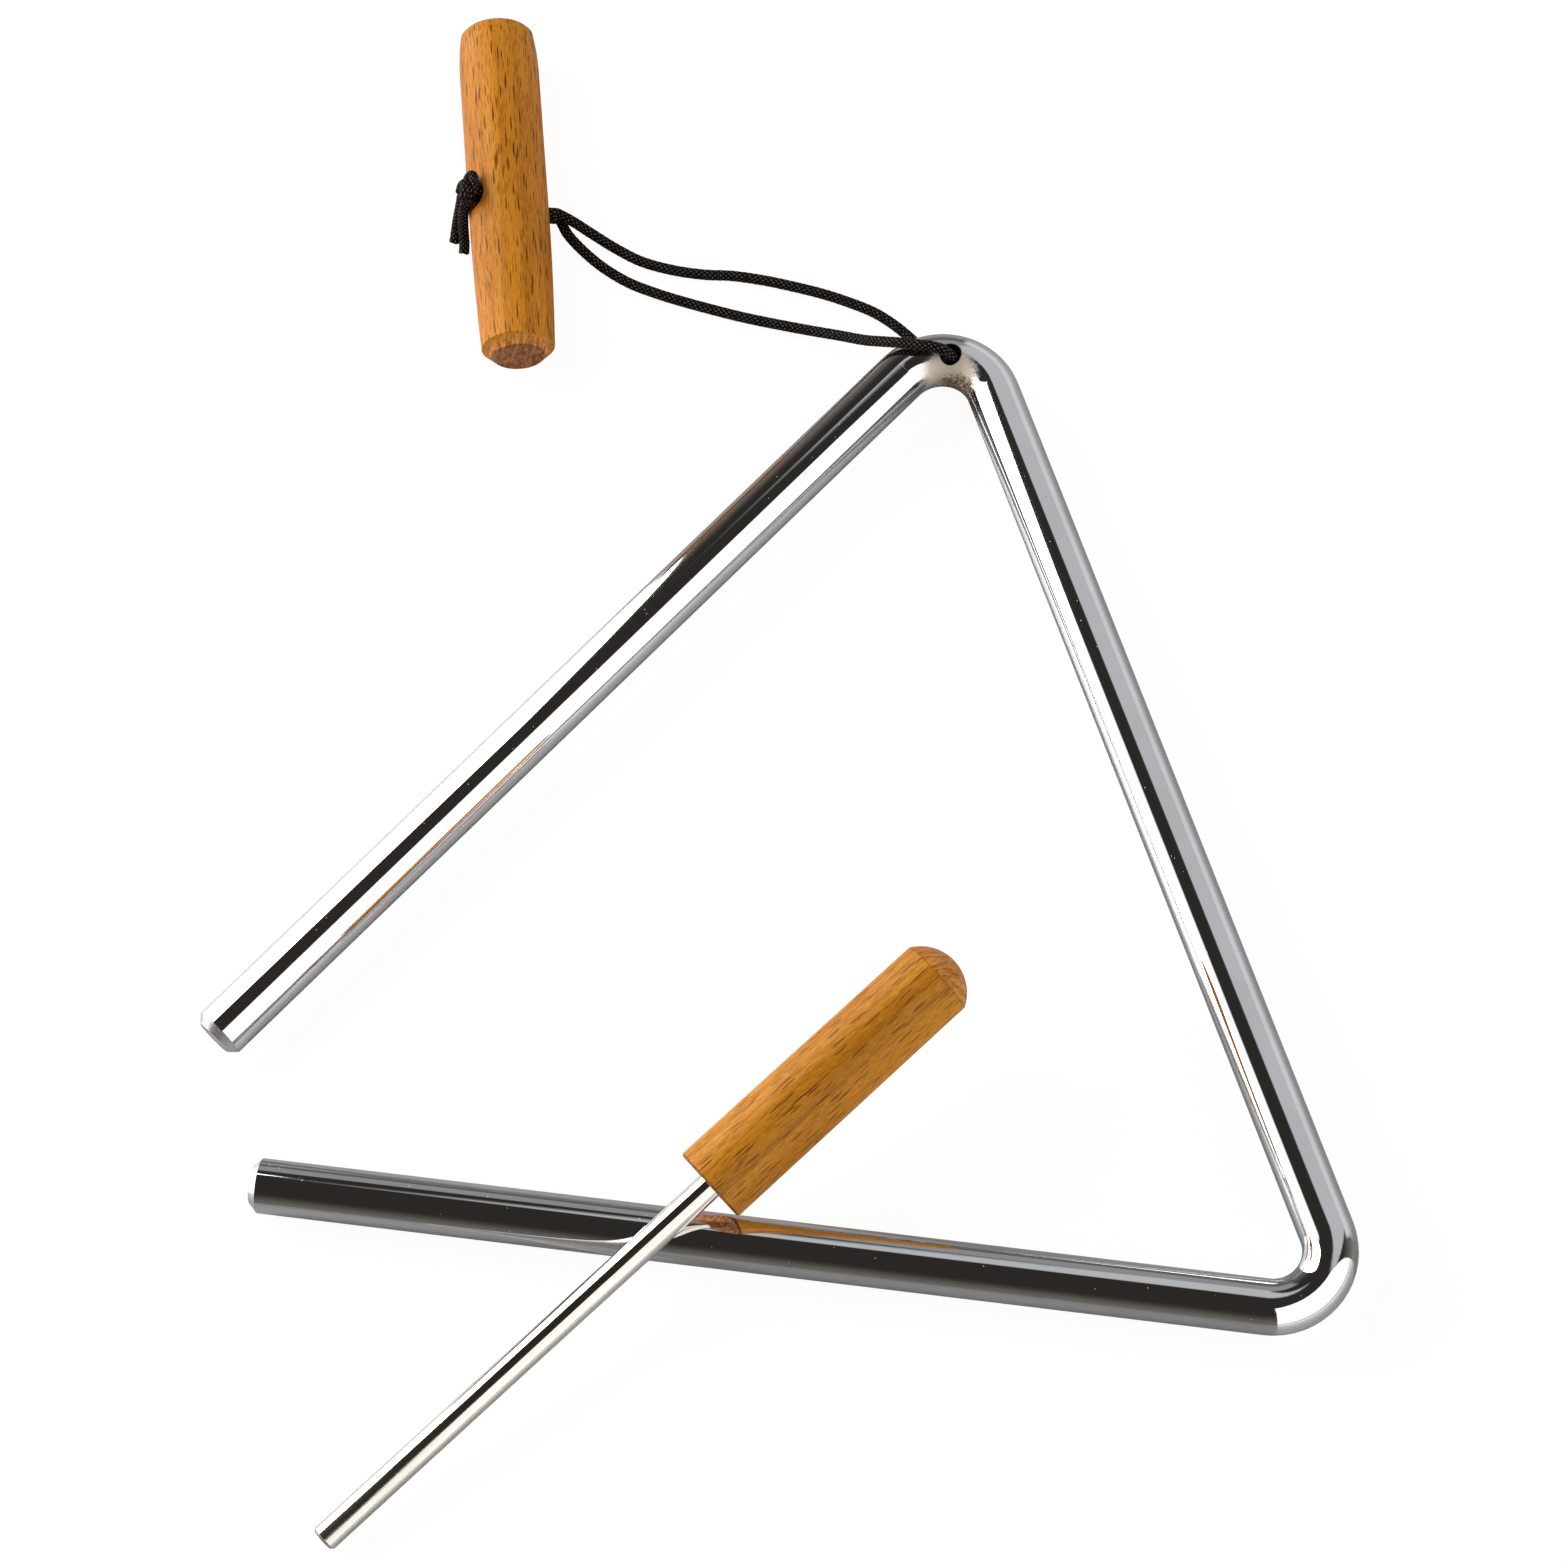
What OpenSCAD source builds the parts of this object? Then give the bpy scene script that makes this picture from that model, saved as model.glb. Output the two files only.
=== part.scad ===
// Triangle instrument lying on a table: a bent steel rod, its cord and wooden holder, and a beater.
// Millimetres, +Z up from the table. Seen from above, +X is to the right and +Y away from the viewer.

/* [Triangle bar] */
// Diameter of the round steel rod
bar_d = 10; // [8:0.5:12]
// Right leg, between the points where the straight legs would meet
right_leg = 208.8; // [190:0.2:230]
// Left leg, from the top meeting point to its free end
left_leg = 197.5; // [170:0.1:200]
// Bottom leg, from the lower meeting point to its free end
bottom_leg = 199.6; // [180:0.1:202]
// Angle inside the lower bend, degrees
lower_angle = 62.9; // [60:0.1:66]
// Angle inside the top bend, degrees
top_angle = 63.3; // [60:0.1:66]
// Radius of the rod's centreline in the lower bend
lower_bend_r = 10.2; // [9:0.1:12]
// Radius of the rod's centreline in the top bend
top_bend_r = 10.5; // [9:0.1:12]
// Chamfer on the rod's two free ends
end_chamfer = 1.5; // [0.5:0.1:2]

/* [Cord hole] */
// Diameter of the hole through the top bend
hole_d = 4; // [3.8:0.1:4.6]
// Distance of the hole from the bend's centreline, towards the inside
hole_inset = 0.8; // [0:0.1:1]

/* [Cord] */
// Diameter of the braided cord
cord_d = 2.1; // [1.6:0.1:2.1]
// Sides of the cord's round section
cord_sides = 8; // [8:2:12]
// Width of the knot across the holder's cross hole
knot_w = 6.2; // [5.6:0.2:7]
// Thickness of the knot, along the cross hole
knot_t = 4; // [3.6:0.2:5]

/* [Holder] */
// Length of the turned holder
holder_len = 71.2; // [60:0.2:80]
// Largest diameter of the holder
holder_d = 15.5; // [14:0.5:16]
// Diameter at the far end
far_end_d = 13.9; // [11:0.1:15]
// Length of the taper at the far end
far_taper = 9; // [5:1:14]
// Diameter at the rim of the near end
near_rim_d = 14.1; // [12:0.1:15]
// Length of the taper at the near end, up to its rim
near_taper = 29; // [20:1:30]
// Length of the near end's chamfer
near_chamfer = 2.1; // [1:0.1:3]
// Diameter of the near end's flat face
near_face_d = 9.7; // [7:0.1:11]
// Edge break on the far end
far_edge = 0.6; // [0.3:0.1:1]
// Distance of the cross hole from the far end
bore_at = 37.8; // [33:0.1:42]
// Diameter of the cross hole, wide enough for two strands
bore_d = 5.5; // [5.5:0.1:6.5]
// Roll of the cross hole, whose end at the loop points down, degrees
bore_roll = 38; // [34:1:40]

/* [Beater] */
// Diameter of the steel shaft
shaft_d = 5; // [4:0.5:6]
// Depth of shaft inside the grip
shaft_in = 25; // [15:1:35]
// Edge break on both ends of the shaft
shaft_edge = 0.5; // [0.2:0.1:1]
// Length of the grip, without its domed end
grip_len = 54.7; // [45:0.1:65]
// Diameter of the grip at its flat front
grip_front_d = 14.9; // [12:0.1:15]
// Diameter of the grip at its rear rim
grip_rear_d = 14.5; // [12:0.1:15]
// Height of the grip's domed rear end
grip_dome = 4.3; // [2:0.1:6]
// Edge break on the grip's front face
grip_edge = 0.4; // [0.2:0.1:1]

/* [Layout on the table] */
// Lower meeting point of the legs, to the right of the middle
corner_x = 104.1; // [90:0.1:115]
// Lower meeting point of the legs, towards the viewer
corner_y = 113.5; // [100:0.1:125]
// Turn of the bottom leg, degrees clockwise
bottom_turn = 8.4; // [0:0.1:20]
// Heading of the holder from its far to its near end, degrees
holder_turn = -85.3; // [-100:0.1:-70]
// Heading of the beater from its tip to its grip, degrees
beater_turn = 40.9; // [35:0.1:46]
// Distance from the bottom leg's free end to the beater's crossing
cross_reach = 77.1; // [60:0.1:90]
// Distance from the beater's tip to the crossing
tip_reach = 82.3; // [76:0.1:95]
// Distance from the crossing to the grip's front
grip_reach = 9.7; // [9.5:0.1:30]

/* [Hidden] */

// Facets of the round pieces, and steps along a curved outline
$fn = 64;
outline_steps = 12;
// Overrun that cuts run past a face
overrun = 1;
// Amount that bending thins the rod, across, and how far the legs run into the bends
bend_thinning = 0.02;
leg_bite = 0.2;
// Gap between the lower strand and the bar's underside
cord_gap = 0.3;
// Gap between the beater's shaft and the bar that it lies on
shaft_gap = 0.2;
// Gap between the holder and what lies beside it: the strands' turning point and the knot
holder_gap = 0.3;
// Gap between the run inside the holder and the loop's rounded ends
joint_gap = 0.1;
// How far the run's strands stop short of the knot's middle
knot_short = 0.4;
// Distance of the knot above the cross hole's axis
knot_rise = 1.4;
// Amount that the shaft is larger than its socket, across
press = 0.04;
// Room left at the bottom of the shaft's socket
socket_room = 0.5;
// How far the strands slant towards the holder's near end, from its axis to the turning point
strand_slant = 1;
// Distance between the two strands' middles, and the depth in the mouth where they bend
strand_apart = 2.3;
mouth_depth = 1.2;

bar_r = bar_d / 2;
cord_r = cord_d / 2;
holder_r = holder_d / 2;
shaft_r = shaft_d / 2;
// Length of shaft outside the grip
shaft_out = tip_reach + grip_reach;

// Cord route, chosen by hand: the lower strand from the holder to the bar, over the bar and
// down through its hole, and the upper strand from under the bar back to the holder
loop_route = [
    [-41.5, 111.9, 1.2], [-39.8, 108.6, 1.1], [-36.7, 104.8, 1.1], [-32.6, 100.9, 1.1],
    [-27.7, 97.5, 1.1], [-22.6, 95.1, 1.1], [-17.7, 93.2, 1.1], [-11.6, 91.1, 1.1],
    [-5.3, 89.1, 1.1], [1.4, 87.2, 1.3], [7.9, 85, 2.5], [13.4, 82.7, 4.6],
    [18.2, 80.1, 7.5], [22.1, 77.9, 10.9], [25.1, 76.6, 12.8], [28.3, 75.5, 14],
    [31.1, 74.8, 14.5], [33.2, 74.3, 14], [34.7, 73.9, 12.4], [35.2, 73.8, 10.6],
    [35.2, 73.8, 8.4], [35.2, 73.8, 6.2], [35.2, 73.8, 4.2], [34.9, 74.1, 2.6],
    [34.2, 74.9, 1.5], [33.1, 76.1, 1.1], [30.1, 79.6, 1.1], [26.6, 83.5, 1.1],
    [23.2, 86.7, 1.1], [19.4, 89.4, 1.1], [14.4, 91.8, 1.1], [9.6, 93.7, 1.1],
    [3.9, 95.5, 1.1], [-1.6, 97, 1.1], [-7.6, 98.2, 1.1], [-13.1, 98.7, 1.1],
    [-19.1, 99.9, 1.1], [-25.2, 102, 1.1], [-30.3, 105, 1.2], [-35, 108.1, 1.9],
    [-38.5, 110.3, 2.9], [-41.5, 111.9, 3.5]
];
short_route = [
    [-59.9, 112.6, 14.4], [-60.9, 112.3, 12.4], [-61, 112, 10.9], [-60.7, 111.6, 9],
    [-60.9, 110.9, 6.8], [-61.2, 110.2, 4.6], [-61.6, 109.1, 2.7], [-61.9, 107.9, 1.4]
];
long_route = [
    [-58.2, 110.4, 13.4], [-58.9, 109.8, 11.6], [-59.4, 109.4, 9.3], [-59.6, 108.9, 7],
    [-59.7, 108.1, 4.7], [-59.8, 106.9, 2.7], [-60, 105.3, 1.4]
];

// Points and directions in the plane
function polar(length, angle) = [length * cos(angle), length * sin(angle)];
function raised(point, height) = [point[0], point[1], height];

// Triangle in its own plane: the lower meeting point is its origin, and its bottom leg runs to -X
lower_turn = 180 - lower_angle;
top_turn = 180 - top_angle;
lower_tangent = lower_bend_r / tan(lower_angle / 2);
top_tangent = top_bend_r / tan(top_angle / 2);
bottom_straight = bottom_leg - lower_tangent;
right_straight = right_leg - lower_tangent - top_tangent;
left_straight = left_leg - top_tangent;
hole_place = polar(right_leg, lower_turn)
    + polar(top_bend_r / sin(top_angle / 2) - top_bend_r + hole_inset, lower_turn + 90 + top_turn / 2);
// The strand under the top bend lifts it, so the triangle leans about its bottom leg
lean = asin((cord_d + cord_gap) / hole_place[1]);

module bar_place() {
    translate([corner_x, -corner_y, bar_r])
        rotate([0, 0, -bottom_turn])
            rotate([lean, 0, 0])
                children();
}

module rod(length, diameter) {
    rotate([0, 90, 0])
        cylinder(d = diameter, h = length);
}

// Piece turned about +X, from an outline of radius and length
module turned(outline) {
    rotate([0, 90, 0])
        rotate_extrude()
            polygon(outline);
}

// Rod along +X whose far end is chamfered
module ended_rod(length, diameter, chamfer) {
    rod(length - chamfer, diameter);
    translate([length - chamfer, 0, 0])
        rotate([0, 90, 0])
            cylinder(d1 = diameter, d2 = diameter - 2 * chamfer, h = chamfer);
}

// Children that start at +X and run back to the origin
module reversed(length) {
    translate([length, 0, 0])
        mirror([1, 0, 0])
            children();
}

// A bend starts along +X and turns towards +Y. Its children are cut from it, at its middle
module bend(turn, radius) {
    translate([0, radius, 0])
        rotate([0, 0, -90])
            difference() {
                rotate_extrude(angle = turn)
                    translate([radius, 0])
                        circle(d = bar_d - bend_thinning);
                rotate([0, 0, turn / 2])
                    translate([radius, 0, 0])
                        children();
            }
}

module after_bend(turn, radius) {
    translate([0, radius, 0])
        rotate([0, 0, turn])
            translate([0, -radius, 0])
                children();
}

// The rod is followed from the bottom leg's free end to the left leg's free end
module triangle_bar() {
    color("gainsboro")
        bar_place()
            translate([-bottom_leg, 0, 0]) {
                reversed(bottom_straight + leg_bite)
                    ended_rod(bottom_straight + leg_bite, bar_d, end_chamfer);
                translate([bottom_straight, 0, 0]) {
                    bend(lower_turn, lower_bend_r);
                    after_bend(lower_turn, lower_bend_r) {
                        translate([-leg_bite, 0, 0])
                            rod(right_straight + 2 * leg_bite, bar_d);
                        translate([right_straight, 0, 0]) {
                            bend(top_turn, top_bend_r)
                                translate([-hole_inset, 0, 0])
                                    cylinder(d = hole_d, h = bar_d + 2 * overrun, center = true);
                            after_bend(top_turn, top_bend_r)
                                translate([-leg_bite, 0, 0])
                                    ended_rod(left_straight + leg_bite, bar_d, end_chamfer);
                        }
                    }
                }
            }
}

// Sweep of a round section along points, with a radius for each point
function unit(v) = v / norm(v);
function along(points, i) =
    unit(points[min(i + 1, len(points) - 1)] - points[max(i - 1, 0)]);
function square_to(v, direction) = unit(v - (v * direction) * direction);
// A side direction for each ring, carried on from ring to ring so that the tube doesn't twist
function carried(points, side, i = 0) =
    i == len(points) ? [] :
    let (kept = square_to(side, along(points, i)))
    concat([kept], carried(points, kept, i + 1));
function ring(centre, radius, direction, side, sides) = [
    for (k = [0 : sides - 1])
        let (turn = 360 * k / sides)
        centre + radius * (cos(turn) * side + sin(turn) * cross(direction, side))
];

module tube(points, radii, sides) {
    last = len(points) - 1;
    start = cross(along(points, 0), [0, 0, 1]);
    sidewise = carried(points, start);
    rings = [
        for (i = [0 : last])
            each ring(points[i], radii[i], along(points, i), sidewise[i], sides)
    ];
    start_cap = [for (k = [0 : sides - 1]) k];
    end_cap = [for (k = [sides - 1 : -1 : 0]) last * sides + k];
    walls = [
        for (i = [0 : last - 1], k = [0 : sides - 1])
            let (here = i * sides + k, beside = i * sides + (k + 1) % sides)
            each [[here, here + sides, beside + sides], [here, beside + sides, beside]]
    ];
    polyhedron(points = rings, faces = concat([start_cap, end_cap], walls));
}

// Two rings that round a tube's end off, as a point before it and a share of its radius
round_angles = [70, 35];
function rounded_start(points) = [
    for (a = round_angles) points[0] - cord_r * sin(a) * along(points, 0)
];
function rounded_end(points) =
    let (last = len(points) - 1)
    [
        for (k = [len(round_angles) - 1 : -1 : 0])
            points[last] + cord_r * sin(round_angles[k]) * along(points, last)
    ];

module rounded_cord(points) {
    route = concat(rounded_start(points), points, rounded_end(points));
    cap_radii = [for (a = round_angles) cord_r * cos(a)];
    end_radii = [for (k = [len(round_angles) - 1 : -1 : 0]) cap_radii[k]];
    tube(route, concat(cap_radii, [for (p = points) cord_r], end_radii), cord_sides);
}

module plain_cord(points) {
    tube(points, [for (p = points) cord_r], cord_sides);
}

module cord_loop() {
    color("dimgray")
        rounded_cord(loop_route);
}

module cord_tail_short() {
    color("dimgray")
        plain_cord(short_route);
}

module cord_tail_long() {
    color("dimgray")
        plain_cord(long_route);
}

// The loop's two ends stand one above the other. The holder turns about the line through them,
// so its place follows from them.
low_end = loop_route[0];
high_end = loop_route[len(loop_route) - 1];
turn_out = holder_r + cord_r + holder_gap;

module holder_place() {
    translate([low_end[0], low_end[1], 0])
        rotate([0, 0, holder_turn])
            translate([-bore_at - strand_slant, -turn_out, holder_r])
                children();
}

// Frame of the cross hole: its axis is Y, and the loop is at its +Y end
module bore_place() {
    translate([bore_at, 0, 0])
        rotate([-bore_roll, 0, 0])
            children();
}

// Outline of a taper between two radii, rounded so that it runs smoothly into the thicker end
function far_taper_points() = [
    for (k = [0 : outline_steps])
        let (share = 1 - k / outline_steps)
        [holder_r - (holder_d - far_end_d) / 2 * share * share, far_taper * (1 - share)]
];
function near_taper_points(rim_at) = [
    for (k = [0 : outline_steps])
        let (share = k / outline_steps)
        [
            holder_r - (holder_d - near_rim_d) / 2 * share * share,
            rim_at - near_taper * (1 - share)
        ]
];

module holder_body() {
    rim_at = holder_len - near_chamfer;
    far_points = far_taper_points();
    outline = concat(
        [[0, 0], [far_points[0][0] - far_edge, 0], [far_points[0][0], far_edge]],
        [for (k = [1 : outline_steps]) far_points[k]],
        near_taper_points(rim_at),
        [[near_face_d / 2, holder_len], [0, holder_len]]
    );
    turned(outline);
}

module holder() {
    color("peru")
        holder_place()
            difference() {
                holder_body();
                bore_place()
                    rotate([90, 0, 0])
                        cylinder(d = bore_d, h = holder_d + 2 * overrun, center = true);
            }
}

// The strands run slantwise through the cross hole and bend towards the loop in its mouth
bend_at = holder_r - mouth_depth;
knot_reach = holder_r + holder_gap + knot_t / 2;
slant_share = strand_slant / turn_out;

// Point of a strand in the holder's frame, at a distance along the cross hole
function in_bore(distance, side) = [
    bore_at + slant_share * distance,
    distance * cos(bore_roll) + side * strand_apart / 2 * sin(bore_roll),
    -distance * sin(bore_roll) + side * strand_apart / 2 * cos(bore_roll)
];
function inner_route(side, end_z) =
    let (
        turning = [bore_at + strand_slant, turn_out, end_z - holder_r],
        mouth = in_bore(bend_at, side)
    )
    [
        in_bore(knot_short - knot_reach, side), in_bore(-bend_at, side), in_bore(0, side),
        mouth, turning - (cord_r + joint_gap) * unit(turning - mouth)
    ];

module cord_inner_run() {
    color("dimgray")
        holder_place() {
            plain_cord(inner_route(-1, low_end[2]));
            plain_cord(inner_route(1, high_end[2]));
        }
}

module cord_knot() {
    outline = [
        for (k = [0 : 2 * outline_steps])
            let (a = 90 * (k / outline_steps - 1))
            [knot_w / 2 * cos(a), knot_t / 2 * sin(a)]
    ];
    color("dimgray")
        holder_place()
            bore_place()
                translate([-knot_reach * slant_share, -knot_reach, knot_rise])
                    rotate([90, 0, 0])
                        rotate_extrude()
                            polygon(outline);
}

// Beater: its tip rests on the table and its shaft on the bottom leg
cross_angle = beater_turn + bottom_turn;
tip_level = shaft_r;
first_rise = asin((bar_d + shaft_gap + shaft_r - tip_level) / tip_reach);
// Height between the two axes at the crossing, which the shaft's slope makes larger
axis_rise = (bar_r + shaft_gap + shaft_r)
    * sqrt(1 - pow(cos(first_rise) * cos(cross_angle), 2))
    / (cos(first_rise) * sin(cross_angle));
beater_rise = asin((bar_r + axis_rise - tip_level) / tip_reach);
tip_z = shaft_r * cos(beater_rise) - shaft_edge * sin(beater_rise);
cross_point = [corner_x, -corner_y] + polar(bottom_leg - cross_reach, 180 - bottom_turn);
tip_point = cross_point - polar(tip_reach * cos(beater_rise), beater_turn);

module beater_place() {
    translate(raised(tip_point, tip_z))
        rotate([0, -beater_rise, beater_turn])
            children();
}

module beater_shaft() {
    length = shaft_out + shaft_in;
    color("silver")
        beater_place()
            turned([
                [0, 0], [shaft_r - shaft_edge, 0], [shaft_r, shaft_edge],
                [shaft_r, length - shaft_edge], [shaft_r - shaft_edge, length], [0, length]
            ]);
}

// The grip's dome is a cap of a sphere, which leaves a rim
dome_r = (pow(grip_rear_d / 2, 2) + pow(grip_dome, 2)) / (2 * grip_dome);
rim_angle = asin(grip_rear_d / 2 / dome_r);

module beater_grip() {
    dome = [
        for (k = [0 : outline_steps])
            let (a = rim_angle * (1 - k / outline_steps))
            [dome_r * sin(a), grip_len + grip_dome - dome_r * (1 - cos(a))]
    ];
    outline = concat(
        [[0, 0], [grip_front_d / 2 - grip_edge, 0], [grip_front_d / 2, grip_edge]],
        dome
    );
    color("peru")
        beater_place()
            translate([shaft_out, 0, 0])
                difference() {
                    turned(outline);
                    translate([-overrun, 0, 0])
                        rod(shaft_in + socket_room + overrun, shaft_d - press);
                }
}

triangle_bar();
cord_loop();
cord_inner_run();
cord_knot();
cord_tail_short();
cord_tail_long();
holder();
beater_shaft();
beater_grip();
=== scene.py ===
import math
import random

import bpy
from mathutils import Matrix, Vector


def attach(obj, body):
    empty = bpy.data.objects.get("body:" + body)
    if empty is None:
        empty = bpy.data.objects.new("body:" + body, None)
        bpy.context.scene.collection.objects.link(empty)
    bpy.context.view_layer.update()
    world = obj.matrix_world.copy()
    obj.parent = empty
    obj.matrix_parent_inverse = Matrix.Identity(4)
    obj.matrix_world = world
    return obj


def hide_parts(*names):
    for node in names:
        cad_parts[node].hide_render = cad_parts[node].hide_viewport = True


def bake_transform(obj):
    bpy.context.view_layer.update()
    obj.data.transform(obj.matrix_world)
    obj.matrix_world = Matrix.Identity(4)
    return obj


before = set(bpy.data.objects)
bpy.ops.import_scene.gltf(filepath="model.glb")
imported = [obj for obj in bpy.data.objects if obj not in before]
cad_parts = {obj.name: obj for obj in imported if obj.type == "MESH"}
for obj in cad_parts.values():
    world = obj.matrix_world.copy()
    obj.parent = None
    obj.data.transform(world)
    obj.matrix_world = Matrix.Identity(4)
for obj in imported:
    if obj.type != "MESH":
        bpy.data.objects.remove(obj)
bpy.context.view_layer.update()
scene = bpy.context.scene
scene.view_settings.view_transform = "Standard"
MM = 0.001
WHITE = (1.0, 1.0, 1.0)
UP = Vector((0, 0, 1))

# Camera, in millimetres, at the photograph's viewing angle
CAMERA_AT = Vector((68.78, -352.89, 858.25))
CAMERA_LENS = 114.8
SENSOR_WIDTH = 36.0


def make_camera():
    right = Vector((0.99701, 0.0, -0.07721))
    up = Vector((0.02875, 0.92808, 0.37128))
    back = Vector((0.07166, -0.37239, 0.92531))
    data = bpy.data.cameras.new("camera")
    data.sensor_width = SENSOR_WIDTH
    data.lens = CAMERA_LENS
    data.clip_start = 0.05
    data.clip_end = 20.0
    camera = bpy.data.objects.new("camera", data)
    scene.collection.objects.link(camera)
    turn = Matrix((right, up, back)).transposed().to_4x4()
    camera.matrix_world = Matrix.Translation(CAMERA_AT * MM) @ turn
    scene.camera = camera


make_camera()


# Helpers for node materials
class Nodes:
    """Short calls that add shader nodes and link them."""

    def __init__(self, tree):
        self.tree = tree

    def put(self, kind, inputs=(), **settings):
        node = self.tree.nodes.new(kind)
        for key, value in settings.items():
            setattr(node, key, value)
        for key, value in dict(inputs).items():
            self.feed(node.inputs[key], value)
        return node

    def feed(self, socket, value):
        if isinstance(value, bpy.types.NodeSocket):
            self.tree.links.new(value, socket)
        else:
            socket.default_value = value

    def math(self, operation, a, b=0.0):
        return self.put("ShaderNodeMath", {0: a, 1: b}, operation=operation).outputs[0]

    def add(self, a, b):
        return self.math("ADD", a, b)

    def less(self, a, b):
        return self.math("SUBTRACT", a, b)

    def times(self, a, b):
        return self.math("MULTIPLY", a, b)

    def most(self, a, b):
        return self.math("MAXIMUM", a, b)

    def absolute(self, a):
        return self.math("ABSOLUTE", a)

    def hypotenuse(self, a, b):
        return self.math("SQRT", self.add(self.times(a, a), self.times(b, b)))

    def dot(self, vector, axis):
        node = self.put(
            "ShaderNodeVectorMath", {0: vector, 1: tuple(axis)}, operation="DOT_PRODUCT")
        return node.outputs["Value"]

    def vector(self, x, y, z):
        return self.put("ShaderNodeCombineXYZ", {0: x, 1: y, 2: z}).outputs[0]

    def distance(self, vector, place):
        node = self.put(
            "ShaderNodeVectorMath", {0: vector, 1: tuple(place)}, operation="DISTANCE")
        return node.outputs["Value"]

    def noise(self, vector, scale=1.0, detail=2.0, roughness=0.5, distortion=0.0):
        node = self.put("ShaderNodeTexNoise", {
            "Vector": vector, "Scale": scale, "Detail": detail, "Roughness": roughness,
            "Distortion": distortion})
        return node.outputs["Fac"]

    def cells(self, vector, scale=1.0):
        node = self.put("ShaderNodeTexVoronoi", {"Vector": vector, "Scale": scale})
        return node.outputs["Distance"]

    def smooth(self, value, low, high, out_low=0.0, out_high=1.0):
        node = self.put("ShaderNodeMapRange", {
            "Value": value, "From Min": low, "From Max": high,
            "To Min": out_low, "To Max": out_high}, interpolation_type="SMOOTHSTEP")
        return node.outputs["Result"]

    def mix(self, share, a, b, blend="MIX"):
        node = self.put("ShaderNodeMix", data_type="RGBA", blend_type=blend)
        self.feed(node.inputs["Factor"], share)
        for key, value in (("A", a), ("B", b)):
            if not isinstance(value, bpy.types.NodeSocket):
                value = (*value, 1.0)
            socket = [s for s in node.inputs if s.name == key and s.type == "RGBA"][0]
            self.feed(socket, value)
        return [s for s in node.outputs if s.type == "RGBA"][0]

    def bump(self, height, strength=1.0, distance=0.0001):
        node = self.put("ShaderNodeBump", {
            "Height": height, "Strength": strength, "Distance": distance})
        return node.outputs["Normal"]


def new_material(name):
    material = bpy.data.materials.new(name)
    material.use_nodes = True
    nodes = Nodes(material.node_tree)
    shader = [n for n in material.node_tree.nodes if n.type == "BSDF_PRINCIPLED"][0]
    return material, nodes, shader


def object_point(nodes):
    """Coordinates of the piece itself, in millimetres."""
    here = nodes.put("ShaderNodeTexCoord").outputs["Object"]
    scaled = nodes.put("ShaderNodeVectorMath", {0: here, "Scale": 1 / MM}, operation="SCALE")
    return scaled.outputs[0]


def dress(node_name, material):
    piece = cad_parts[node_name]
    if not piece.material_slots:
        piece.data.materials.append(material)
    for slot in piece.material_slots:
        slot.material = material


# Places and sizes of the object, in millimetres and degrees, as in the part's source
HOLE = Vector((34.8, 74.2, 7.4))
LEFT_AXIS = Vector((-0.7021, -0.7120, -0.0110))
LEFT_END = Vector((-101.5, -56.4, 5.4))
BOTTOM_AXIS = Vector((-0.9893, 0.1461, 0.0))
BOTTOM_END = Vector((-93.4, -84.3, 5.0))
HOLDER_AXIS = Vector((0.08194, -0.99664, 0.0))
HOLDER_FAR = Vector((-53.75, 149.82, 7.75))
BEATER_AXIS = Vector((0.74991, 0.64959, 0.12520))
BEATER_TIP = Vector((-78.80, -149.07, 2.42))
GRIP_FRONT = Vector((-9.81, -89.30, 13.94))
CORD_D = 2.1
CORD_R = CORD_D / 2
HOLDER_R = 7.75
HOLDER_GAP = 0.3
HOLDER_TURN = -85.3
BORE_AT = 37.8
BORE_ROLL = 38.0
STRAND_SLANT = 1.0
STRAND_APART = 2.3
TURN_CLEAR = 0.2
MOUTH_DEPTH = 1.2
KNOT_T = 4.0
KNOT_SHORT = 0.4
KNOT_RISE = 1.4

# Routes of the cord's middle, for the loop from the holder to the hole and back, and the tails
LOOP_ROUTE = [
    (-41.5, 111.9, 1.2), (-39.8, 108.6, 1.1), (-36.7, 104.8, 1.1), (-32.6, 100.9, 1.1),
    (-27.7, 97.5, 1.1), (-22.6, 95.1, 1.1), (-17.7, 93.2, 1.1), (-11.6, 91.1, 1.1),
    (-5.3, 89.1, 1.1), (1.4, 87.2, 1.3), (7.9, 85, 2.5), (13.4, 82.7, 4.6),
    (18.2, 80.1, 7.5), (22.1, 77.9, 10.9), (25.1, 76.6, 12.8), (28.3, 75.5, 14),
    (31.1, 74.8, 14.5), (33.2, 74.3, 14), (34.7, 73.9, 12.4), (35.2, 73.8, 10.6),
    (35.2, 73.8, 8.4), (35.2, 73.8, 6.2), (35.2, 73.8, 4.2), (34.9, 74.1, 2.6),
    (34.2, 74.9, 1.5), (33.1, 76.1, 1.1), (30.1, 79.6, 1.1), (26.6, 83.5, 1.1),
    (23.2, 86.7, 1.1), (19.4, 89.4, 1.1), (14.4, 91.8, 1.1), (9.6, 93.7, 1.1),
    (3.9, 95.5, 1.1), (-1.6, 97, 1.1), (-7.6, 98.2, 1.1), (-13.1, 98.7, 1.1),
    (-19.1, 99.9, 1.1), (-25.2, 102, 1.1), (-30.3, 105, 1.2), (-35, 108.1, 1.9),
    (-38.5, 110.3, 2.9), (-41.5, 111.9, 3.5),
]
SHORT_ROUTE = [
    (-58.6, 112.2, 13.4), (-59.2, 111.9, 11.5), (-59.8, 111.5, 9), (-60.4, 110.9, 6.8),
    (-61, 110.2, 4.6), (-61.5, 109.1, 2.7), (-61.9, 107.9, 1.4),
]
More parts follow.
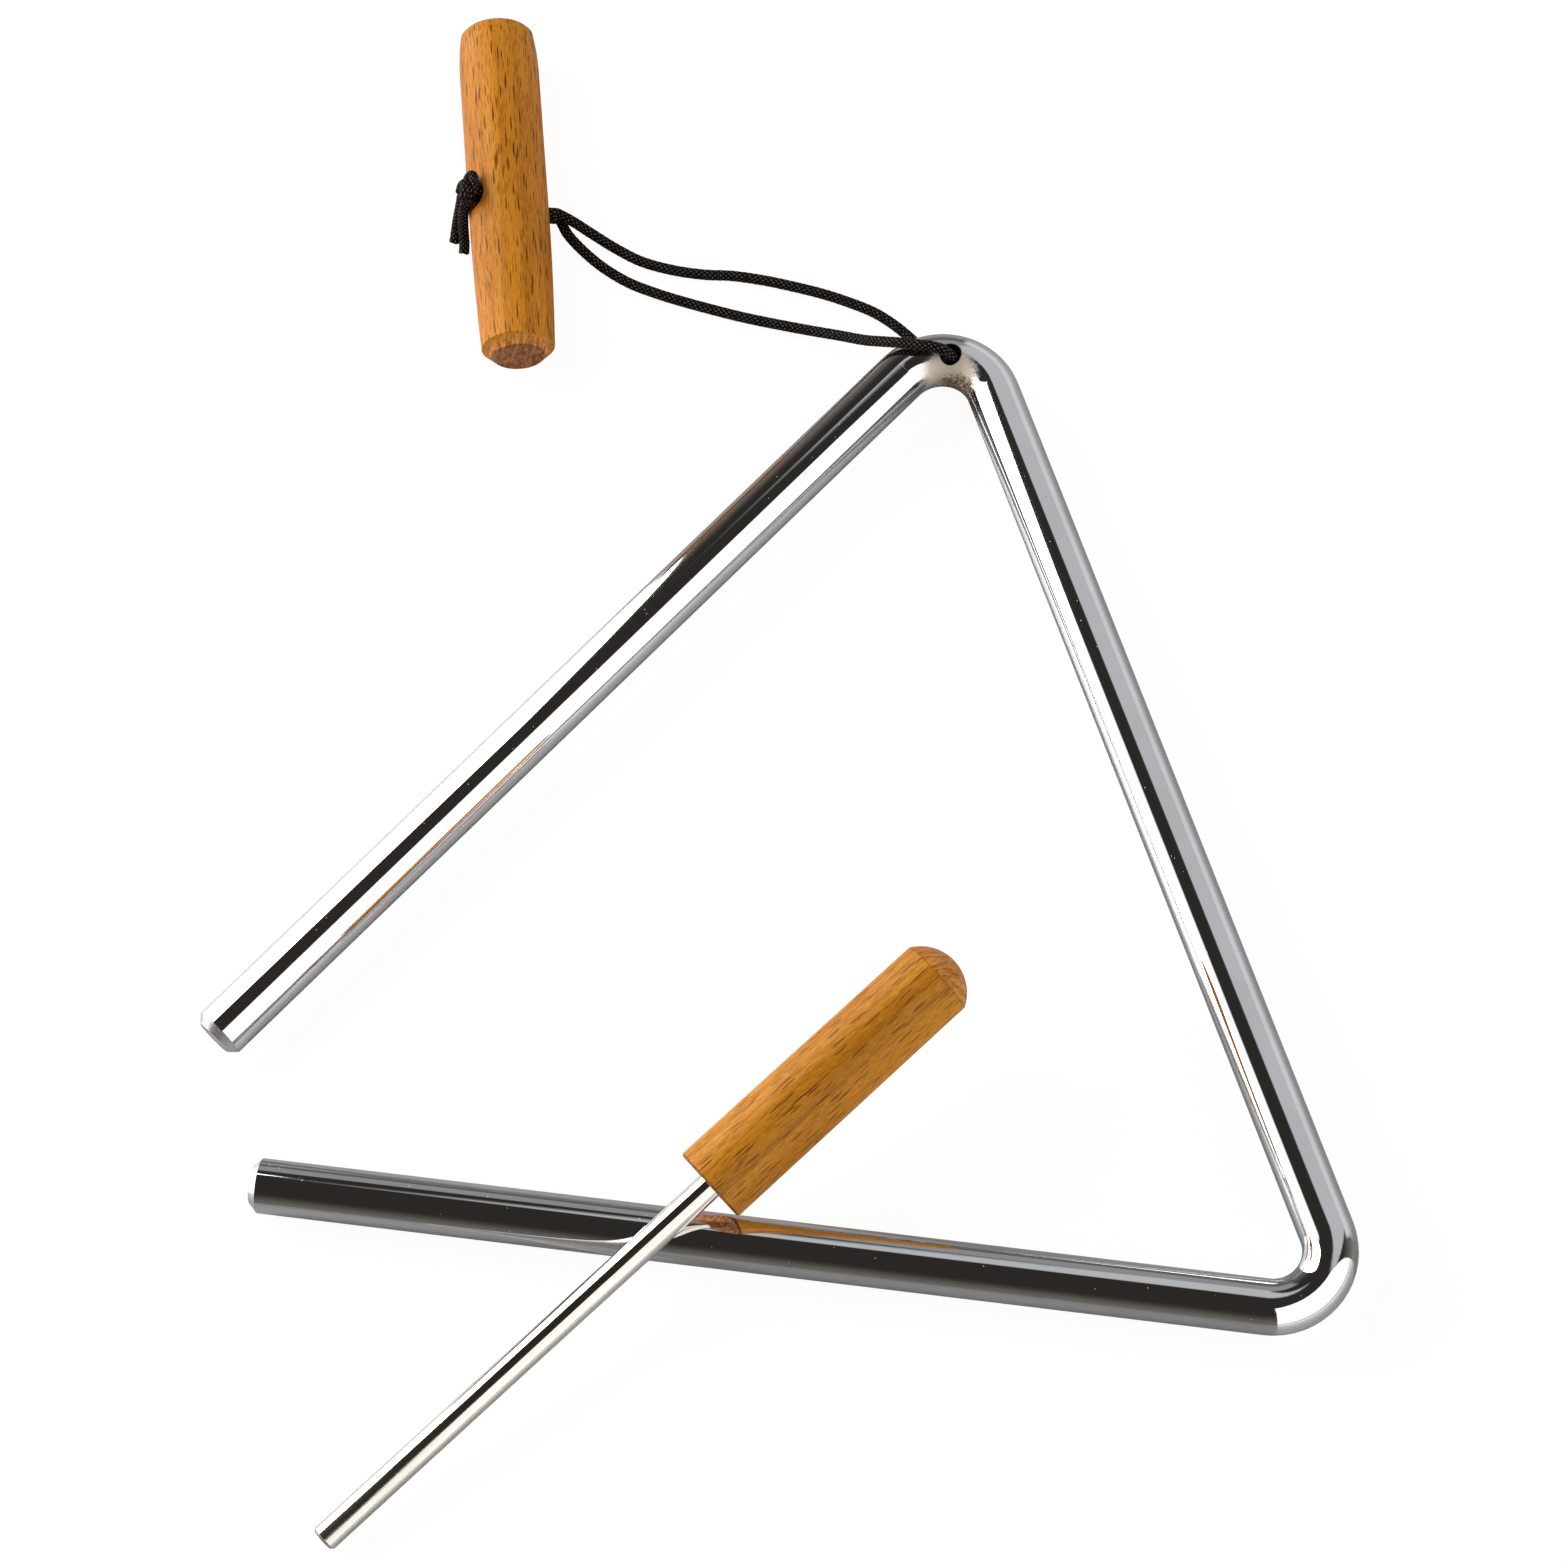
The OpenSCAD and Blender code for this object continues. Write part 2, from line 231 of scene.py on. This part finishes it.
LONG_ROUTE = [
    (-58, 110.4, 13.4), (-58.6, 109.8, 11.6), (-59.15, 109.4, 9.3), (-59.5, 108.9, 7),
    (-59.7, 108.1, 4.7), (-59.8, 106.9, 2.7), (-60, 105.3, 1.4),
]

LOW_END = Vector(LOOP_ROUTE[0])
HIGH_END = Vector(LOOP_ROUTE[-1])
TURN_OUT = HOLDER_R + CORD_R + HOLDER_GAP
KNOT_REACH = HOLDER_R + HOLDER_GAP + KNOT_T / 2


def from_holder(x, y, z):
    """Point of the holder's own frame, in the part's frame."""
    turned = Matrix.Rotation(math.radians(HOLDER_TURN), 3, "Z") @ Vector((
        x - BORE_AT - STRAND_SLANT, y - TURN_OUT, z + HOLDER_R))
    return turned + Vector((LOW_END.x, LOW_END.y, 0))


def from_bore(distance, side, rise=0.0):
    """Point beside the axis of the holder's cross hole, whose loop end points down."""
    roll = math.radians(BORE_ROLL)
    off = side * STRAND_APART / 2 + rise
    return from_holder(
        BORE_AT + STRAND_SLANT / TURN_OUT * distance,
        distance * math.cos(roll) + off * math.sin(roll),
        -distance * math.sin(roll) + off * math.cos(roll))


def inner_route(side, end):
    """Strand from the knot through the cross hole, up to the turning point."""
    bend_at = HOLDER_R - MOUTH_DEPTH
    mouth = from_bore(bend_at, side)
    towards = (end - mouth).normalized()
    return [
        from_bore(KNOT_SHORT - KNOT_REACH, side), from_bore(-bend_at, side),
        from_bore(-bend_at / 2, side), from_bore(0, side), from_bore(bend_at / 2, side), mouth,
        end - (CORD_R + TURN_CLEAR) * towards,
    ]


# Round cord meshes with the braid in their surface
PATH_STEP = 0.17
CURVE_PARTS = 20
CORD_SIDES = 28
BRAID_PROUD = 0.08
BRAID_CARRIERS = 8
BRAID_PITCH = 1.2
BRAID_LOW = 0.55
BRAID_CROWN = 0.45
FRAY_SEED = 7
FRAYED_RINGS = 3
FRAY_SWELL = 0.05
FRAY_REACH = (-0.05, 0.35)


def smooth_path(points, step=PATH_STEP):
    """Points at an even step on a smooth curve through the given ones."""
    points = [Vector(p) for p in points]
    fine = []
    for i in range(len(points) - 1):
        before = points[i - 1] if i else points[0] * 2 - points[1]
        after = points[i + 2] if i + 2 < len(points) else points[-1] * 2 - points[-2]
        a, b = points[i], points[i + 1]
        for k in range(CURVE_PARTS):
            t = k / CURVE_PARTS
            fine.append(0.5 * (
                2 * a + (b - before) * t + (2 * before - 5 * a + 4 * b - after) * t * t
                + (3 * a - before - 3 * b + after) * t ** 3))
    fine.append(points[-1])
    even = [fine[0]]
    left = step
    for a, b in zip(fine, fine[1:]):
        length = (b - a).length
        done = 0.0
        while length - done >= left:
            done += left
            even.append(a.lerp(b, done / length))
            left = step
        left -= length - done
    if (even[-1] - fine[-1]).length > step / 2:
        even.append(fine[-1])
    return even


def braid_height(along, turn):
    """Height of a braid of slanting strands, from 0 to 1, by millimetres along and turns round."""
    a = BRAID_CARRIERS * turn + along / BRAID_PITCH
    b = BRAID_CARRIERS * turn - along / BRAID_PITCH
    if (math.floor(a / 2) + math.floor(b / 2)) % 2:
        a, b = b, a
    across = abs(math.sin(math.pi * a))
    lengthwise = abs(math.sin(math.pi * (b / 2)))
    return math.sqrt(across) * (BRAID_LOW + BRAID_CROWN * lengthwise)


def tube_faces(rings, sides):
    """Quads between the rings of a tube, and one cap at each end."""
    faces = []
    last = (rings - 1) * sides
    for here in range(0, last, sides):
        after = here + sides
        for k in range(sides):
            n = (k + 1) % sides
            faces.append((here + k, here + n, after + n, after + k))
    faces.append(tuple(range(sides - 1, -1, -1)))
    faces.append(tuple(last + k for k in range(sides)))
    return faces


def lay_coordinates(mesh, coordinates):
    """Texture coordinates of a tube: millimetres along it, and turns round it."""
    layer = mesh.uv_layers.new(name="braid")
    for polygon in mesh.polygons:
        turns = [coordinates[mesh.loops[c].vertex_index][1] for c in polygon.loop_indices]
        wraps = max(turns) - min(turns) > 0.5 and len(turns) == 4
        for c in polygon.loop_indices:
            u, v = coordinates[mesh.loops[c].vertex_index]
            layer.data[c].uv = (u, v + 1.0 if wraps and v < 0.5 else v)
        polygon.use_smooth = len(polygon.vertices) == 4


def cord_mesh(name, path, radius=CORD_R, frayed=False, start_at=0.0):
    """Braided tube along points that are already at an even step."""
    rng = random.Random(FRAY_SEED)
    sides = CORD_SIDES
    vertices, coordinates = [], []
    side = None
    along = start_at
    for i, centre in enumerate(path):
        ahead = path[min(i + 1, len(path) - 1)] - path[max(i - 1, 0)]
        ahead.normalize()
        if side is None:
            side = ahead.cross(UP)
        side = (side - side.dot(ahead) * ahead).normalized()
        other = ahead.cross(side)
        if i:
            along += (centre - path[i - 1]).length
        for k in range(sides):
            turn = k / sides
            r = radius - BRAID_PROUD + BRAID_PROUD * braid_height(along, turn)
            at = centre.copy()
            if frayed and i >= len(path) - FRAYED_RINGS:
                r *= 1.0 + FRAY_SWELL * rng.random()
                at += ahead * rng.uniform(*FRAY_REACH)
            angle = 2 * math.pi * turn
            vertices.append((at + r * (math.cos(angle) * side + math.sin(angle) * other)) * MM)
            coordinates.append((along, turn))
    mesh = bpy.data.meshes.new(name)
    mesh.from_pydata([tuple(v) for v in vertices], [], tube_faces(len(path), sides))
    lay_coordinates(mesh, coordinates)
    piece = bpy.data.objects.new(name, mesh)
    scene.collection.objects.link(piece)
    piece.data.materials.append(CORD_MATERIAL)
    return piece


def cord_material():
    strands_round, strand_pitch = 7.0, 1.05
    # Black cord tones, and a brown-grey that paints highlights on the braid's ridges
    black, brown_black, ridge_highlight_brown = (
        (0.0012, 0.0010, 0.0010), (0.003, 0.0025, 0.0022), (0.25, 0.185, 0.155))
    material, n, shader = new_material("black_braid")
    uv = n.put("ShaderNodeUVMap", uv_map="braid").outputs[0]
    split = n.put("ShaderNodeSeparateXYZ", {0: uv})
    along, turn = split.outputs[0], split.outputs[1]
    slant_a = n.add(n.times(turn, strands_round), n.times(along, 1 / strand_pitch))
    slant_b = n.less(n.times(turn, strands_round), n.times(along, 1 / strand_pitch))
    ridges_a, ridges_b = (
        n.absolute(n.math("SINE", n.times(slant, math.pi))) for slant in (slant_a, slant_b))
    ridges = n.times(ridges_a, ridges_b)
    yarn = n.noise(n.vector(n.times(slant_a, 1.1), n.times(slant_b, 0.4), 0.0), 3.0, 3.0)
    patches = n.noise(n.vector(n.times(along, 0.35), turn, 0.0), 1.0, 2.0)
    dark = n.mix(patches, black, brown_black)
    # Painted highlights: brown-grey colour on the braid's ridges stands in for their sheen
    ridge_highlight = n.mix(n.times(n.math("POWER", ridges, 3.0), n.smooth(yarn, 0.36, 0.6)),
                 dark, ridge_highlight_brown)
    n.feed(shader.inputs["Base Color"], ridge_highlight)
    n.feed(shader.inputs["Roughness"], n.smooth(yarn, 0.2, 0.8, 0.5, 0.7))
    n.feed(shader.inputs["Normal"], n.bump(n.add(yarn, n.times(ridges, 0.8)), 0.35, 0.00008))
    shader.inputs["Specular IOR Level"].default_value = 0.05
    shader.inputs["Sheen Weight"].default_value = 0.008
    shader.inputs["Sheen Roughness"].default_value = 0.4
    shader.inputs["Sheen Tint"].default_value = (0.75, 0.65, 0.58, 1.0)
    return material


CORD_MATERIAL = cord_material()


def knot_route():
    """Two tight turns of the cord round both strands, side by side, drawn in by the knot."""
    turns, parts = 2, 96
    inner_half, outer_half, half_rise = 2.2, 1.4, 0.9
    leave_at, reach_at = 0.3, 0.7
    # Middle of each turn, from the knot's own: further out, higher and along the holder
    inner_out, inner_up, inner_along = -0.75, 0.4, -0.3
    outer_out, outer_up, outer_along = 1.0, 0.3, 1.8
    outward = (from_bore(-2, 0) - from_bore(-1, 0)).normalized()
    level = (HOLDER_AXIS - HOLDER_AXIS.dot(outward) * outward).normalized()
    rise = outward.cross(level)
    inner_turn, outer_turn = (
        from_bore(-KNOT_REACH - out, 0, KNOT_RISE + up) + along * level
        for out, up, along in (
            (inner_out, inner_up, inner_along), (outer_out, outer_up, outer_along)))
    route = []
    for k in range(parts + 1):
        share = k / parts
        t = (2 * turns * share - 0.5) * math.pi
        step = min(max((share - leave_at) / (reach_at - leave_at), 0.0), 1.0)
        half = inner_half + (outer_half - inner_half) * step
        route.append(inner_turn.lerp(outer_turn, step)
                     + half * math.cos(t) * level + half_rise * math.sin(t) * rise)
    return route


def make_cord():
    braid_start, wrap_radius = 0.3, 0.95
    low = inner_route(-1, LOW_END)
    high = inner_route(1, HIGH_END)
    path = smooth_path(low + LOOP_ROUTE + high[::-1])
    cord = cord_mesh("cord_strands", path, start_at=braid_start)
    knot = cord_mesh("cord_knot_wraps", smooth_path(knot_route()), radius=wrap_radius)
    short = cord_mesh("cord_end_short", smooth_path(SHORT_ROUTE), frayed=True)
    long = cord_mesh("cord_end_long", smooth_path(LONG_ROUTE), frayed=True)

    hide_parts("cord_loop", "cord_inner_run")
    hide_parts("cord_knot")
    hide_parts("cord_tail_short")
    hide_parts("cord_tail_long")
    for piece in (knot, short, long):
        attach(piece, "holder")
    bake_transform(cord)


make_cord()


# Polished rod: millimetres from a mark's middle, or from an end, over which its look fades
PATCH_AT = Vector((34.7, 70.3, 10.9))
PATCH_EDGE = (4.4, 7.5)
STAIN_AT = Vector((35.6, 65.5, 7.4))
STAIN_EDGE = (6.3, 8.3)
HOLE_EDGE = (2.06, 2.2)
CHAMFER_FROM_END = (1.55, 1.4)
BETWEEN_ENDS = (-71.0, -70.0)


def chrome_material():
    plain_tones = ((0.80, 0.80, 0.81), (0.76, 0.755, 0.76))
    # Near black is painted shade for the wall of the drilled hole
    stain_brown, rust, bore_painted_shade = (0.13, 0.07, 0.03), (0.35, 0.32, 0.30), (0.035, 0.028, 0.024)
    sawn_grey, cream = (0.74, 0.73, 0.75), (1.0, 0.86, 0.64)
    mirror_finish, sawn_finish = (0.035, 0.055), (0.18, 0.34)
    material, n, shader = new_material("polished_chrome")
    here = object_point(n)
    speck = n.smooth(n.cells(here, 0.55), 0.035, 0.06, 1.0, 0.0)
    cloud = n.noise(here, 0.09, 3.0)
    fine = n.noise(here, 1.6, 4.0, 0.6)
    grain = n.noise(here, 2.6, 5.0, 0.7)
    # Rough creamy patch round the lower half of the hole, and a brown stain on the inner crest
    rough_patch = n.smooth(
        n.add(n.distance(here, PATCH_AT), n.times(fine, 2.0)), *PATCH_EDGE, 1.0, 0.0)
    patch = n.times(rough_patch, n.smooth(grain, 0.3, 0.65))
    stain = n.smooth(
        n.add(n.distance(here, STAIN_AT), n.times(fine, 3.0)), *STAIN_EDGE, 1.0, 0.0)
    # Sawn faces of the two free ends, told apart by how far back they lie
    behind = n.smooth(n.dot(here, (0.0, 1.0, 0.0)), *BETWEEN_ENDS)
    left_face, bottom_face = (
        n.smooth(n.dot(here, axis), *(axis.dot(end) - back for back in CHAMFER_FROM_END))
        for axis, end in ((LEFT_AXIS, LEFT_END), (BOTTOM_AXIS, BOTTOM_END)))
    ends = n.most(n.times(left_face, behind), n.times(bottom_face, n.less(1.0, behind)))
    # Wall of the drilled hole, dull, with painted shade: near black
    from_hole = n.put("ShaderNodeVectorMath", {0: here, 1: tuple(HOLE)}, operation="SUBTRACT")
    flat = n.put("ShaderNodeSeparateXYZ", {0: from_hole.outputs[0]})
    wall = n.smooth(n.hypotenuse(flat.outputs[0], flat.outputs[1]), *HOLE_EDGE, 1.0, 0.0)

    colour = n.mix(n.smooth(cloud, 0.3, 0.7), *plain_tones)
    colour = n.mix(n.times(stain, n.smooth(grain, 0.35, 0.55)), colour, stain_brown)
    colour = n.mix(n.times(ends, 0.8), colour, sawn_grey)
    colour = n.mix(n.times(speck, 0.35), colour, rust)
    # Painted shade inside the drilled hole
    colour = n.mix(wall, colour, bore_painted_shade)
    colour = n.mix(n.times(rough_patch, 0.9), colour, cream, "MULTIPLY")
    n.feed(shader.inputs["Base Color"], colour)
    n.feed(shader.inputs["Metallic"], n.smooth(rough_patch, 0.0, 1.0, 1.0, 0.3))
    roughness = n.add(n.smooth(cloud, 0.3, 0.7, *mirror_finish), n.times(speck, 0.25))
    roughness = n.add(roughness, n.times(rough_patch, 0.34))
    roughness = n.add(roughness, n.times(ends, n.smooth(grain, 0.3, 0.7, *sawn_finish)))
    roughness = n.add(roughness, n.times(wall, 0.4))
    n.feed(shader.inputs["Roughness"], roughness)
    relief = n.add(n.times(speck, -0.6), n.times(n.times(patch, grain), 0.8))
    relief = n.add(relief, n.times(n.times(ends, grain), 0.8))
    n.feed(shader.inputs["Normal"], n.bump(relief, 0.5, 0.00006))
    return material


# Drawn steel of the beater's shaft, with lines that fade away from the tip
def shaft_material():
    bright, dim, cut_grey = (0.80, 0.755, 0.70), (0.70, 0.655, 0.60), (0.52, 0.49, 0.47)
    lined_length, face_edge = 55.0, (0.15, 0.6)
    smooth_finish, lined_finish = 0.05, 0.2
    material, n, shader = new_material("drawn_steel")
    here = object_point(n)
    side = BEATER_AXIS.cross(UP).normalized()
    along = n.dot(here, BEATER_AXIS)
    across = n.dot(here, side)
    height = n.dot(here, side.cross(BEATER_AXIS))
    lines = n.noise(n.vector(n.times(along, 0.05), n.times(across, 5.0), n.times(height, 5.0)),
                    1.0, 3.0, 0.6)
    tip_at = BEATER_AXIS.dot(BEATER_TIP)
    near_tip = n.smooth(along, tip_at, tip_at + lined_length, 1.0, 0.15)
    face = n.smooth(along, *(tip_at + depth for depth in face_edge), 1.0, 0.0)
    colour = n.mix(n.smooth(lines, 0.35, 0.7), bright, dim)
    n.feed(shader.inputs["Base Color"], n.mix(face, colour, cut_grey))
    brushed = n.times(n.smooth(lines, 0.3, 0.7, smooth_finish, lined_finish), near_tip)
    n.feed(shader.inputs["Roughness"], n.add(n.add(brushed, 0.04), n.times(face, 0.25)))
    n.feed(shader.inputs["Normal"], n.bump(n.times(lines, near_tip), 0.25, 0.00004))
    shader.inputs["Metallic"].default_value = 1.0
    return material


# Lacquered beech, whose grain runs along the turned piece
HONEY = (0.78, 0.315, 0.040)
AMBER = (0.56, 0.19, 0.014)
BROWN = (0.25, 0.068, 0.006)
FLECK = (0.88, 0.43, 0.08)
SPARKLE = (0.92, 0.47, 0.085)
DIP = (0.36, 0.115, 0.010)
PORE = (0.085, 0.022, 0.003)
CUT_DARK = (0.42, 0.088, 0.014)
CUT_LIGHT = (1.0, 0.48, 0.19)
RIM = (0.11, 0.028, 0.012)
PITH_AWAY = 19.0
RINGS_PER_MM = 0.42


def beech_material(name, axis, origin, shift, fineness, dashes, tone, ends):
    """Lacquered beech. A row of `ends` says where along the axis a cut end starts, is full
    and has its rim, in millimetres, and how strongly it shows."""
    material, n, shader = new_material(name)
    here = object_point(n)
    side = axis.cross(UP).normalized()
    lift = side.cross(axis)
    along = n.less(n.dot(here, axis), axis.dot(origin))
    across = n.add(n.dot(here, side), shift - side.dot(origin))
    height = n.add(n.dot(here, lift), 0.6 * shift - lift.dot(origin))

    def stretched(long, wide):
        return n.vector(n.times(along, long), n.times(across, wide), n.times(height, wide))

    drift = n.noise(stretched(0.02, 0.08), 1.0, 2.0)
    # Growth rings round a pith that lies outside the piece
    radius = n.hypotenuse(n.add(across, PITH_AWAY), n.add(height, n.times(drift, 5.0)))
    wave = n.math("FRACT", n.add(n.times(radius, RINGS_PER_MM * fineness), n.times(drift, 1.2)))
    late = n.math("POWER", wave, 4.0)
    broad = n.noise(stretched(0.018, 0.16), 1.0, 3.0, 0.55)
    fibre = n.noise(stretched(0.12, 2.8), 1.0, 4.0, 0.65)
    fleck = n.noise(stretched(0.35, 1.5), 1.0, 3.0, 0.6, 0.4)
    sparkle = n.noise(stretched(0.8, 3.4), 1.0, 3.0, 0.6)
    # Open pores: short dark dashes along the grain
    long_pores = n.smooth(n.cells(stretched(0.13, 1.5)), 0.19, 0.27, 1.0, 0.0)
    fine_pores = n.smooth(n.cells(stretched(0.22, 3.0)), 0.22, 0.33, 1.0, 0.0)
    pore = n.most(long_pores, n.times(fine_pores, 0.6))

    colour = n.mix(n.smooth(broad, 0.32, 0.68), HONEY, AMBER)
    for share, shade in (
            (n.times(late, 0.42 * fineness), BROWN),
            (n.times(n.smooth(fibre, 0.48, 0.78), 0.38), BROWN),
            (n.times(n.smooth(fleck, 0.5, 0.8), 0.22), FLECK),
            (n.times(n.smooth(sparkle, 0.52, 0.68), 0.30), SPARKLE),
            (n.times(n.smooth(sparkle, 0.48, 0.34), 0.30), DIP),
            (n.times(pore, dashes), PORE)):
        colour = n.mix(share, colour, shade)
    colour = n.mix(1.0, colour, tone, "MULTIPLY")
    # Cut ends: darker end grain with curved marks, and a dark line round its rim
    marks = n.noise(n.vector(n.times(radius, 1.5), n.times(height, 0.4), 0.0), 1.0, 4.0, 0.6)
    end_grain = n.mix(n.smooth(marks, 0.42, 0.58), CUT_DARK, CUT_LIGHT)
    for start, full, rim, strength in ends:
        cut = n.put("ShaderNodeMapRange", {
            "Value": along, "From Min": start, "From Max": full}).outputs["Result"]
        colour = n.mix(n.times(cut, strength), colour, end_grain)
        line = n.smooth(n.absolute(n.less(along, rim)), 0.06, 0.3, 1.0, 0.0)
        colour = n.mix(n.times(line, 0.75 * strength), colour, RIM)
    n.feed(shader.inputs["Base Color"], colour)
    n.feed(shader.inputs["Roughness"],
           n.add(n.smooth(fibre, 0.3, 0.7, 0.33, 0.45), n.times(pore, 0.15)))
    relief = n.add(n.times(pore, -1.0), n.times(fibre, 0.35))
    n.feed(shader.inputs["Normal"], n.bump(relief, 0.35, 0.00008))
    shader.inputs["Specular IOR Level"].default_value = 0.22
    shader.inputs["Specular Tint"].default_value = (1.0, 0.72, 0.36, 1.0)
    shader.inputs["Coat Weight"].default_value = 0.05
    shader.inputs["Coat Roughness"].default_value = 0.25
    return material


dress("triangle_bar", chrome_material())
dress("beater_shaft", shaft_material())
dress("holder", beech_material(
    "beech_holder", HOLDER_AXIS, HOLDER_FAR, shift=3.0, fineness=0.7, dashes=0.9,
    tone=(0.93, 0.86, 0.55), ends=[(69.2, 71.3, 71.1, 0.85), (0.7, 0.0, 0.2, 0.6)]))
dress("beater_grip", beech_material(
    "beech_grip", BEATER_AXIS, GRIP_FRONT, shift=11.0, fineness=1.15, dashes=0.7,
    tone=(1.02, 1.0, 0.6), ends=[(54.4, 55.4, 54.7, 0.35), (0.45, 0.0, 0.2, 0.8)]))


# Floor, backdrop and light
def make_floor():
    seen, mirrored = (0.86, 0.86, 0.86), (0.50, 0.50, 0.50)
    glow_strength, glow_share = 1.09, 0.86
    half = 3.0
    mesh = bpy.data.meshes.new("floor")
    mesh.from_pydata([(-half, -half, 0), (half, -half, 0), (half, half, 0), (-half, half, 0)], [],
                     [(0, 1, 2, 3)])
    floor = bpy.data.objects.new("floor", mesh)
    scene.collection.objects.link(floor)
    material = bpy.data.materials.new("pale_floor")
    material.use_nodes = True
    n = Nodes(material.node_tree)
    material.node_tree.nodes.clear()
    rays = n.put("ShaderNodeLightPath")
    colour = n.mix(rays.outputs["Is Glossy Ray"], seen, mirrored)
    diffuse = n.put("ShaderNodeBsdfDiffuse", {"Color": colour})
    polish = n.put("ShaderNodeBsdfGlossy", {"Color": (*WHITE, 1.0), "Roughness": 0.12})
    fresnel = n.put("ShaderNodeFresnel", {"IOR": 2.0})
    polished = n.put("ShaderNodeMixShader", {
        0: fresnel.outputs[0], 1: diffuse.outputs[0], 2: polish.outputs[0]})
    # A share of what the camera sees is a glow, which keeps the ground white and shadows faint
    glow = n.put("ShaderNodeEmission", {"Color": (*WHITE, 1.0), "Strength": glow_strength})
    share = n.times(rays.outputs["Is Camera Ray"], glow_share)
    mixed = n.put("ShaderNodeMixShader", {
        0: share, 1: polished.outputs[0], 2: glow.outputs[0]})
    output = n.put("ShaderNodeOutputMaterial")
    n.tree.links.new(mixed.outputs[0], output.inputs["Surface"])
    floor.data.materials.append(material)


# Bright cards by azimuth, elevation, half width, half height and radiance
CARDS = {
    "grey, at the back right": (38, 44, 0.42, 0.48, 0.58),
    "white strip under it": (40, 6, 0.5, 0.22, 0.74),
    "low, straight behind": (2, 26, 0.26, 0.16, 0.32),
    "white, straight left, over the near end of the left lamp": (-92, 23, 0.2, 0.36, 1.3),
}


def make_world():
    cool, warm = (0.96, 0.98, 1.0), (1.0, 0.90, 0.78)
    near_ground, overhead, card_soft = 0.16, 0.03, 0.12
    fill_from, fill_range = (0.93, -0.35, 0.1), (0.08, 1.2)
    world = bpy.data.worlds.new("studio")
    scene.world = world
    world.use_nodes = True
    n = Nodes(world.node_tree)
    world.node_tree.nodes.clear()
    rays = n.put("ShaderNodeLightPath")
    towards = n.put("ShaderNodeTexCoord").outputs["Generated"]

    def card(azimuth, elevation, wide, tall, radiance):
        """Soft-edged rectangle in that direction, whose half sizes are tangents."""
        a, e = math.radians(azimuth), math.radians(elevation)
        ahead = Vector((math.sin(a) * math.cos(e), math.cos(a) * math.cos(e), math.sin(e)))
        level = Vector((math.cos(a), -math.sin(a), 0))
        facing = n.dot(towards, ahead)
        depth = n.most(facing, 0.001)
        x, y = (n.absolute(n.math("DIVIDE", n.dot(towards, way), depth))
                for way in (level, level.cross(ahead)))
        inside = n.times(n.smooth(x, wide, wide + card_soft, 1.0, 0.0),
                         n.smooth(y, tall, tall + card_soft, 1.0, 0.0))
        return n.times(n.times(inside, n.smooth(facing, 0.0, 0.05)), radiance)

    cards = 0.0
    for place in CARDS.values():
        cards = n.most(cards, card(*place))
    # Cool cards on a warm dark room, which is lighter near the ground
    height = n.put("ShaderNodeSeparateXYZ", {0: towards}).outputs[2]
    level = n.smooth(height, 0.0, 0.7, near_ground, overhead)
    tint = n.mix(n.smooth(n.less(level, cards), 0.0, 0.02), cool, warm)
    level = n.most(level, cards)
    # Soft fill from the right for dull surfaces, and plain white for the camera
    fill = n.smooth(n.dot(towards, fill_from), 0.1, 0.95, *fill_range)
    level = n.mix(rays.outputs["Is Diffuse Ray"], level, fill)
    level = n.most(level, rays.outputs["Is Camera Ray"])
    plain = n.most(rays.outputs["Is Camera Ray"], rays.outputs["Is Diffuse Ray"])
    tint = n.mix(plain, tint, WHITE)
    shine = n.put("ShaderNodeBackground", {"Color": tint, "Strength": level})
    output = n.put("ShaderNodeOutputWorld")
    n.tree.links.new(shine.outputs[0], output.inputs["Surface"])


def soft_box(name, place, look_at, wide, tall, radiance, dull=True):
    """One-sided lamp, in metres; with `dull` off, it shows only in shiny surfaces."""
    data = bpy.data.lights.new(name, "AREA")
    data.shape = "RECTANGLE"
    data.size = wide
    data.size_y = tall
    data.energy = radiance * math.pi * wide * tall
    lamp = bpy.data.objects.new(name, data)
    scene.collection.objects.link(lamp)
    lamp.location = place
    lamp.rotation_euler = (Vector(look_at) - Vector(place)).to_track_quat("-Z", "Y").to_euler()
    lamp.visible_camera = False
    lamp.visible_diffuse = dull


make_floor()
make_world()
# A long low box on the left, nearer at its far end, and a tall one at the front right
soft_box("left_box", (-0.842, 0.057, 0.31), look_at=(-0.642, -0.492, 0.31),
         wide=1.40, tall=0.60, radiance=4.0)
soft_box("right_box", (0.36, -0.33, 0.59), look_at=(0.0, 0.0, 0.59),
         wide=0.72, tall=1.16, radiance=1.3, dull=False)
